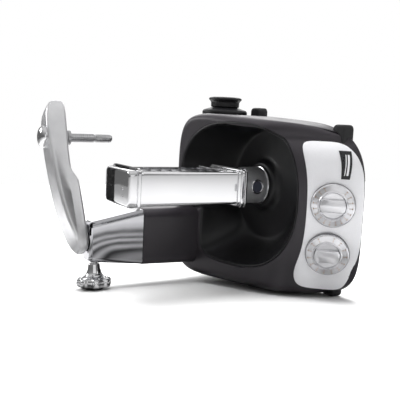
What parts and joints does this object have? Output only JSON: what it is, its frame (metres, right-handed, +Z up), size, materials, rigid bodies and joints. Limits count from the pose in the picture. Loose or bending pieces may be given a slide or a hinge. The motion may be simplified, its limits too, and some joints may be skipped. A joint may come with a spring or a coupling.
{
  "type": "kitchen machine with pasta cutter",
  "caption": "Stand mixer lying on its side with a twin-roller pasta cutter on its drive, swinging arm, two dials, outlet lid and star lock knob that serves as a foot.",
  "frame": {"origin": "middle of the bounding box on the floor", "axes": "+X towards the machine's underside, +Y towards its back, +Z up as it lies"},
  "size_m": [0.3614, 0.4078, 0.3152],
  "materials": {
    "charcoal_paint": "satin metallic",
    "black_plastic": "fine satin",
    "silver_paint": "satin silver",
    "chrome": "polished",
    "cast_aluminium": "satin blasted",
    "satin_metal": "satin",
    "steel": "turned",
    "dial_plastic": "clear over silver",
    "rubber": "matt",
    "brass": "machined",
    "circuit_board": "coated",
    "copper_winding": "varnished"
  },
  "bodies": {
    "machine": {"housing_shell": "charcoal_paint", "well_liner": "black_plastic", "foot_front_right": "rubber", "foot_front_left": "rubber", "foot_rear_right": "rubber", "foot_rear_left": "rubber", "base_plate": "black_plastic", "control_panel": "silver_paint", "badge_plate": "charcoal_paint", "speed_control": "black_plastic", "timer_module": "black_plastic", "arm_post": "steel", "pivot_collar": "black_plastic", "column_cover": "chrome", "outlet_flange": "black_plastic", "motor_housing": "steel", "output_bearing": "steel", "drive_belt": "rubber", "gear_frame": "cast_aluminium", "control_board": "circuit_board", "power_inlet": "black_plastic"},
    "arm": {"arm_casting": "cast_aluminium", "arm_spindle": "steel"},
    "arm_knob": {"arm_knob": "chrome"},
    "lock": {"lock_knob": "chrome", "lock_screw": "steel", "foot_pad": "rubber"},
    "speed_dial": {"speed_dial": "dial_plastic"},
    "timer_dial": {"timer_dial": "dial_plastic"},
    "lid": {"outlet_lid": "black_plastic"},
    "drive": {"worm_wheel": "brass", "drive_shaft": "steel", "drive_dog": "steel"},
    "worm": {"worm_shaft": "steel", "worm_pulley": "black_plastic"},
    "motor": {"motor_rotor": "copper_winding", "motor_fan": "black_plastic", "motor_pulley": "black_plastic", "outlet_drive": "steel"},
    "cutter": {"adapter_housing": "satin_metal", "adapter_ring": "chrome", "cutter_right_cap": "chrome", "cutter_left_cap": "chrome", "front_cover": "chrome", "rear_cover": "chrome", "top_strap": "chrome", "tie_rod_front": "steel", "tie_rod_rear": "steel", "comb_front": "steel", "comb_rear": "steel"},
    "cutter_input": {"gear_pinion": "steel", "drive_socket": "steel"},
    "front_roller": {"roller_front": "steel", "gear_front": "brass", "gear_driven": "brass"},
    "rear_roller": {"roller_rear": "steel", "gear_rear": "brass"},
    "button": {"lock_button": "black_plastic"}
  },
  "joints": [
    {"name": "arm_swing", "type": "hinge", "parent": "machine", "child": "arm", "pos_m": [-0.14425, 0.08829, 0.07663], "axis": [1, 0, 0], "range_deg": [-20, 45]},
    {"name": "arm_knob_turn", "type": "hinge", "parent": "arm", "child": "arm_knob", "pos_m": [-0.15925, 0.16565, 0.24026], "axis": [1, 0, 0], "continuous": true},
    {"name": "lock_turn", "type": "hinge", "parent": "machine", "child": "lock", "pos_m": [-0.11625, 0.08829, 0.012], "axis": [0, 0, 1], "continuous": true},
    {"name": "speed_turn", "type": "hinge", "parent": "machine", "child": "speed_dial", "pos_m": [0.14135, -0.17391, 0.13707], "axis": [-0.6594, -0.7483, -0.0721], "range_deg": [0, 300]},
    {"name": "timer_turn", "type": "hinge", "parent": "machine", "child": "timer_dial", "pos_m": [0.14075, -0.16292, 0.06781], "axis": [-0.6498, -0.721, -0.2406], "range_deg": [0, 330]},
    {"name": "lid_lift", "type": "slide", "parent": "machine", "child": "lid", "axis": [0, -0.0958, 0.9954], "range_m": [0, 0.06]},
    {"name": "drive_spin", "type": "hinge", "parent": "machine", "child": "drive", "pos_m": [0.11575, -0.02396, 0.16357], "axis": [1, 0, 0], "continuous": true},
    {"name": "worm_spin", "type": "hinge", "parent": "machine", "child": "worm", "pos_m": [0.15175, 0.02032, 0.16281], "axis": [0, -0.0958, 0.9954], "continuous": true},
    {"name": "motor_spin", "type": "hinge", "parent": "machine", "child": "motor", "pos_m": [0.12775, 0.10493, 0.17096], "axis": [0, -0.0958, 0.9954], "continuous": true},
    {"name": "cutter_slide", "type": "slide", "parent": "machine", "child": "cutter", "axis": [-1, 0, 0], "range_m": [0, 0.09]},
    {"name": "cutter_input_spin", "type": "hinge", "parent": "cutter", "child": "cutter_input", "pos_m": [0.07575, -0.02396, 0.16357], "axis": [1, 0, 0], "continuous": true},
    {"name": "front_roller_spin", "type": "hinge", "parent": "cutter", "child": "front_roller", "pos_m": [-0.02425, -0.03839, 0.16218], "axis": [1, 0, 0], "continuous": true},
    {"name": "rear_roller_spin", "type": "hinge", "parent": "cutter", "child": "rear_roller", "pos_m": [-0.02425, -0.00953, 0.16496], "axis": [1, 0, 0], "continuous": true},
    {"name": "button_press", "type": "slide", "parent": "cutter", "child": "button", "axis": [0, 0.9954, 0.0958], "range_m": [0, 0.003], "stiffness_N_per_m": 400, "springref_m": -0.0005}
  ],
  "couplings": [
    {"joint": "worm_spin", "follows": "drive_spin", "ratio": 16},
    {"joint": "motor_spin", "follows": "drive_spin", "ratio": 32},
    {"joint": "cutter_input_spin", "follows": "drive_spin", "ratio": 1},
    {"joint": "front_roller_spin", "follows": "drive_spin", "ratio": -0.8125},
    {"joint": "rear_roller_spin", "follows": "drive_spin", "ratio": 0.8125}
  ]
}
